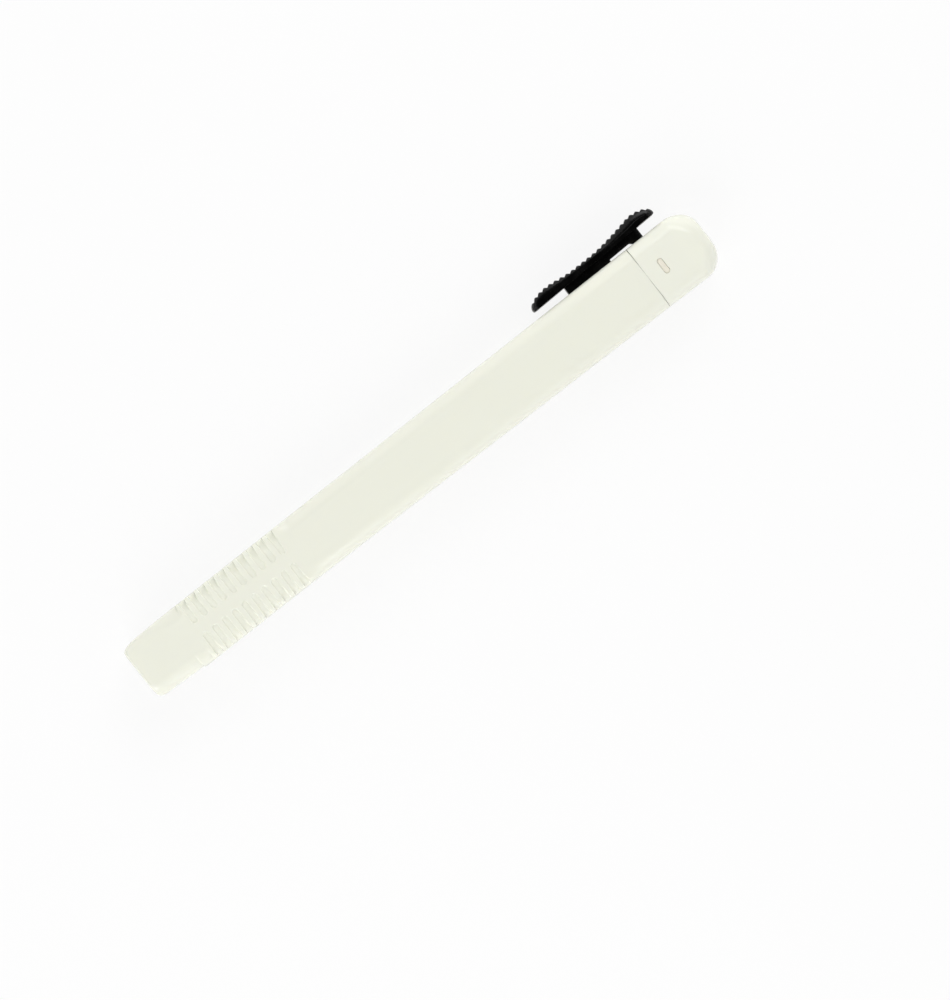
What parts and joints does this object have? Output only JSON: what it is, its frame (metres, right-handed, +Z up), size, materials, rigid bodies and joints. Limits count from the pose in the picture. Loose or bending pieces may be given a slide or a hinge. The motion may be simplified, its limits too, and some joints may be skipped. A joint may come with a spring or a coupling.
{
  "type": "click eraser stick",
  "caption": "Flat-sided barrel holding a round eraser stick, fed out by a ribbed thumb lever on a clicking slider, with a snapped-on end cap.",
  "frame": {"origin": "on the flat side that the barrel lies on, under the barrel's axis, at mid length", "axes": "+X along the barrel from the mouth to the end cap, +Y towards the thumb lever, +Z up, away from the flat side that it lies on"},
  "size_m": [0.118, 0.0161, 0.0114],
  "materials": {
    "barrel_plastic": "glossy cream injection-moulded plastic",
    "cap_plastic": "glossy cream injection-moulded plastic",
    "lever_plastic": "satin black plastic",
    "slider_plastic": "plain black plastic",
    "eraser_vinyl": "soft white vinyl"
  },
  "bodies": {
    "barrel": {"barrel": "barrel_plastic", "end_cap": "cap_plastic"},
    "slider": {"eraser_holder": "slider_plastic", "flex_strap": "slider_plastic"},
    "lever": {"thumb_lever": "lever_plastic"},
    "eraser": {"eraser_stick": "eraser_vinyl"}
  },
  "joints": [
    {"name": "click_slide", "type": "slide", "parent": "barrel", "child": "slider", "axis": [-1, 0, 0], "range_m": [0, 0.06]},
    {"name": "lever_press", "type": "hinge", "parent": "slider", "child": "lever", "pos_m": [0.0316, 0.0033, 0.0057], "axis": [0, 0, -1], "range_deg": [0, 2.5], "stiffness_Nm_per_rad": 0.5, "deforming": ["flex_strap"]},
    {"name": "refill_pull", "type": "slide", "parent": "slider", "child": "eraser", "axis": [-1, 0, 0], "range_m": [0, 0.085]}
  ]
}
